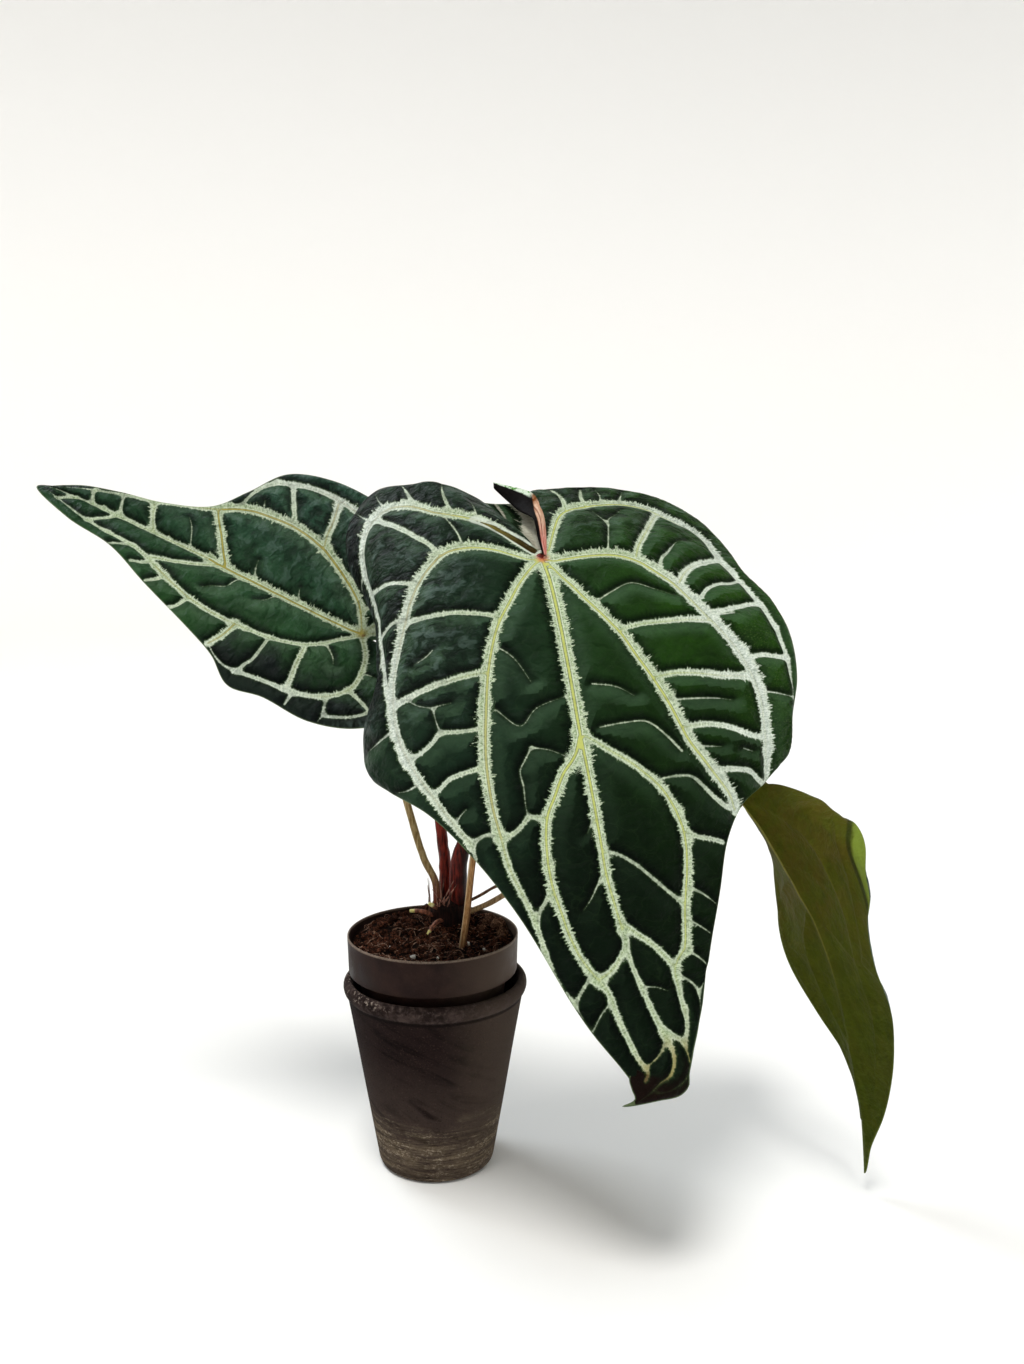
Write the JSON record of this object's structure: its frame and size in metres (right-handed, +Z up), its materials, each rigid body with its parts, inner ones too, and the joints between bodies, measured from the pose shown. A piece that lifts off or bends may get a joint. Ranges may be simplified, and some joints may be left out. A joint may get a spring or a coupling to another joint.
{
  "type": "anthurium crystallinum house plant in pot",
  "caption": "Potted velvet-leaf aroid: large heart-shaped leaves with pale veins on arching stalks, in a plastic nursery pot seated in a tapered clay cover pot.",
  "frame": {"origin": "centre of the cover pot's flat underside, so z = 0 is the surface that the plant stands on", "axes": "+X to the right when the big leaf faces the viewer, +Y away from that viewer, +Z up along the pot's axis"},
  "size_m": [0.5895, 0.2512, 0.4885],
  "materials": {
    "clay": "matte, weathered",
    "pot_plastic": "satin",
    "soil": "loose, matte",
    "stem": "satin",
    "petiole": "satin",
    "leaf": "velvety",
    "dry_sheath": "dry, matte",
    "bamboo": "matte",
    "root": "satin"
  },
  "bodies": {
    "root": {"outer_pot": "clay", "nursery_pot": "pot_plastic", "potting_soil": "soil", "crown_stem": "stem", "petiole_front": "stem", "petiole_left": "petiole", "petiole_right": "petiole", "leaf_front": "leaf", "leaf_left": "leaf", "leaf_right": "leaf", "new_shoot": "stem", "cataphyll_left": "dry_sheath", "cataphyll_right": "dry_sheath", "bamboo_stake": "bamboo", "aerial_root": "dry_sheath", "root_left": "root", "root_middle": "root", "root_upper": "root", "dry_stub": "dry_sheath"}
  },
  "joints": []
}
